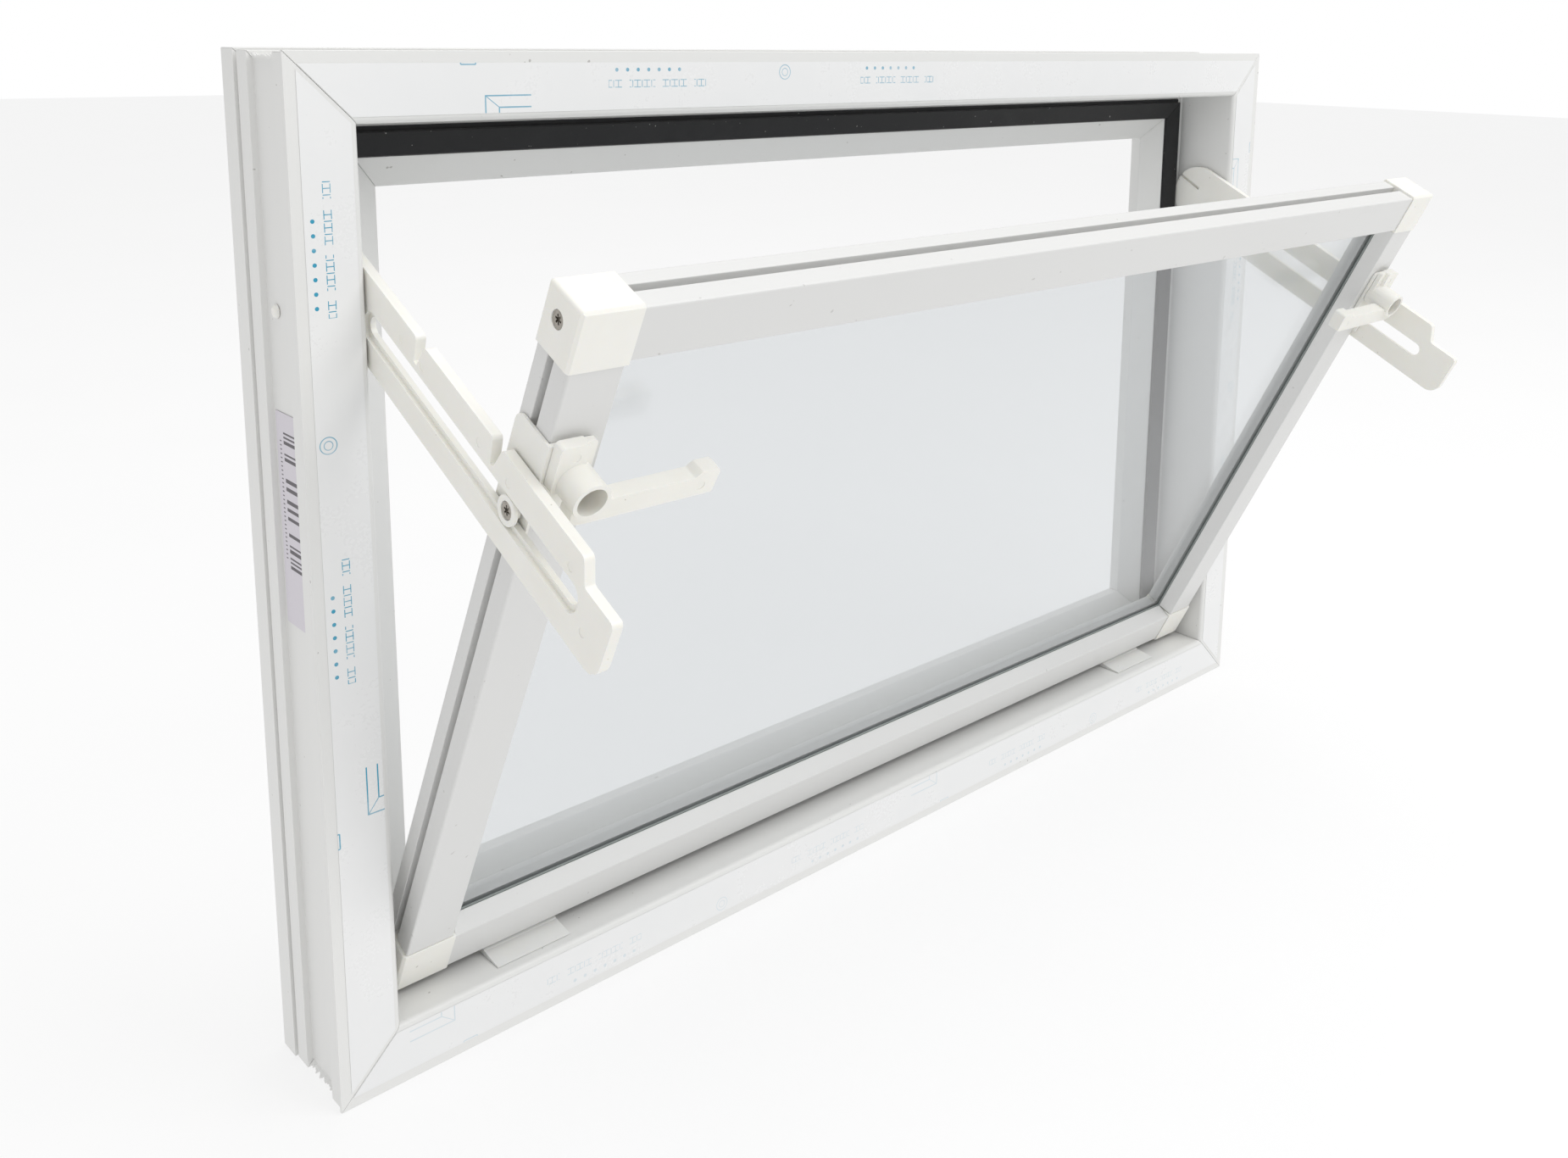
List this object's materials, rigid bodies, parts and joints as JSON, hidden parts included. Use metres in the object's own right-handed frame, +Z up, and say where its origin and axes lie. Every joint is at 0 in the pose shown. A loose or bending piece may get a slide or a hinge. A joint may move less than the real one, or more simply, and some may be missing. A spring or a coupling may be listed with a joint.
{
  "type": "bottom-hung utility window",
  "caption": "White plastic utility window: mitred frame, bottom-hung sash with glass leaning in on two notched side stays, and two turn levers.",
  "frame": {"origin": "middle of the seat on the underside of the sill's rear rib", "axes": "+X along the width to the right as seen from the room, +Y outdoors, +Z up; the sash leans toward -Y"},
  "size_m": [0.9, 0.3068, 0.6],
  "materials": {
    "frame_pvc": "satin",
    "film": "glossy",
    "sash_pvc": "satin",
    "moulded_plastic": "satin",
    "gasket_rubber": "matte",
    "glazing_seal": "matte",
    "label": "matte",
    "screw_steel": "satin",
    "glass": "clear"
  },
  "bodies": {
    "frame": {"frame_sill": "frame_pvc", "frame_head": "frame_pvc", "frame_jamb_left": "frame_pvc", "frame_jamb_right": "frame_pvc", "film_sill": "film", "film_head": "film", "film_jamb_left": "film", "film_jamb_right": "film", "gasket_sill": "gasket_rubber", "gasket_head": "gasket_rubber", "gasket_jamb_left": "gasket_rubber", "gasket_jamb_right": "gasket_rubber", "channel_plug": "moulded_plastic", "bar_label": "label", "hinge_block_left": "moulded_plastic", "hinge_block_right": "moulded_plastic"},
    "sash": {"sash_rail_bottom": "sash_pvc", "sash_rail_top": "sash_pvc", "glass_pane": "glass", "glazing_seal": "glazing_seal", "sash_stile_left": "sash_pvc", "sash_stile_right": "sash_pvc", "cap_top_left": "moulded_plastic", "cap_bottom_left": "moulded_plastic", "cap_top_right": "moulded_plastic", "cap_bottom_right": "moulded_plastic", "cap_screw_top_left": "screw_steel", "cap_screw_bottom_left": "screw_steel", "cap_screw_top_right": "screw_steel", "cap_screw_bottom_right": "screw_steel", "stay_bracket_left": "moulded_plastic", "stay_bracket_right": "moulded_plastic"},
    "stay_left": {"stay_arm_left": "moulded_plastic"},
    "bush_left": {"slot_bush_left": "moulded_plastic", "bush_screw_left": "screw_steel"},
    "lever_left": {"turn_lever_left": "moulded_plastic", "lever_screw_left": "screw_steel"},
    "stay_right": {"stay_arm_right": "moulded_plastic"},
    "bush_right": {"slot_bush_right": "moulded_plastic", "bush_screw_right": "screw_steel"},
    "lever_right": {"turn_lever_right": "moulded_plastic", "lever_screw_right": "screw_steel"}
  },
  "joints": [
    {"name": "sash_tilt", "type": "hinge", "parent": "frame", "child": "sash", "pos_m": [0, -0.03442, 0.05169], "axis": [1, 0, 0], "range_deg": [-26.25, 0]},
    {"name": "stay_swing_left", "type": "hinge", "parent": "frame", "child": "stay_left", "pos_m": [0, -0.04263, 0.46966], "axis": [-1, 0, 0], "range_deg": [-63.75, 0]},
    {"name": "bush_slide_left", "type": "slide", "parent": "stay_left", "child": "bush_left", "axis": [0, -0.8969, -0.4423], "range_m": [-0.14623, 0]},
    {"name": "stay_swing_right", "type": "hinge", "parent": "frame", "child": "stay_right", "pos_m": [0, -0.04263, 0.46966], "axis": [-1, 0, 0], "range_deg": [-63.75, 0]},
    {"name": "bush_slide_right", "type": "slide", "parent": "stay_right", "child": "bush_right", "axis": [0, -0.8969, -0.4423], "range_m": [-0.14623, 0]},
    {"name": "lever_turn_left", "type": "hinge", "parent": "sash", "child": "lever_left", "pos_m": [-0.3895, -0.22785, 0.40842], "axis": [0, 0.8969, 0.4423], "range_deg": [0, 90]},
    {"name": "lever_turn_right", "type": "hinge", "parent": "sash", "child": "lever_right", "pos_m": [0.3895, -0.22785, 0.40842], "axis": [0, -0.8969, -0.4423], "range_deg": [0, 90]}
  ],
  "couplings": [
    {"joint": "stay_swing_left", "follows": "sash_tilt", "ratio": 2.4286},
    {"joint": "bush_slide_left", "follows": "sash_tilt", "m_per_rad": 0.31918},
    {"joint": "stay_swing_right", "follows": "sash_tilt", "ratio": 2.4286},
    {"joint": "bush_slide_right", "follows": "sash_tilt", "m_per_rad": 0.31918}
  ]
}
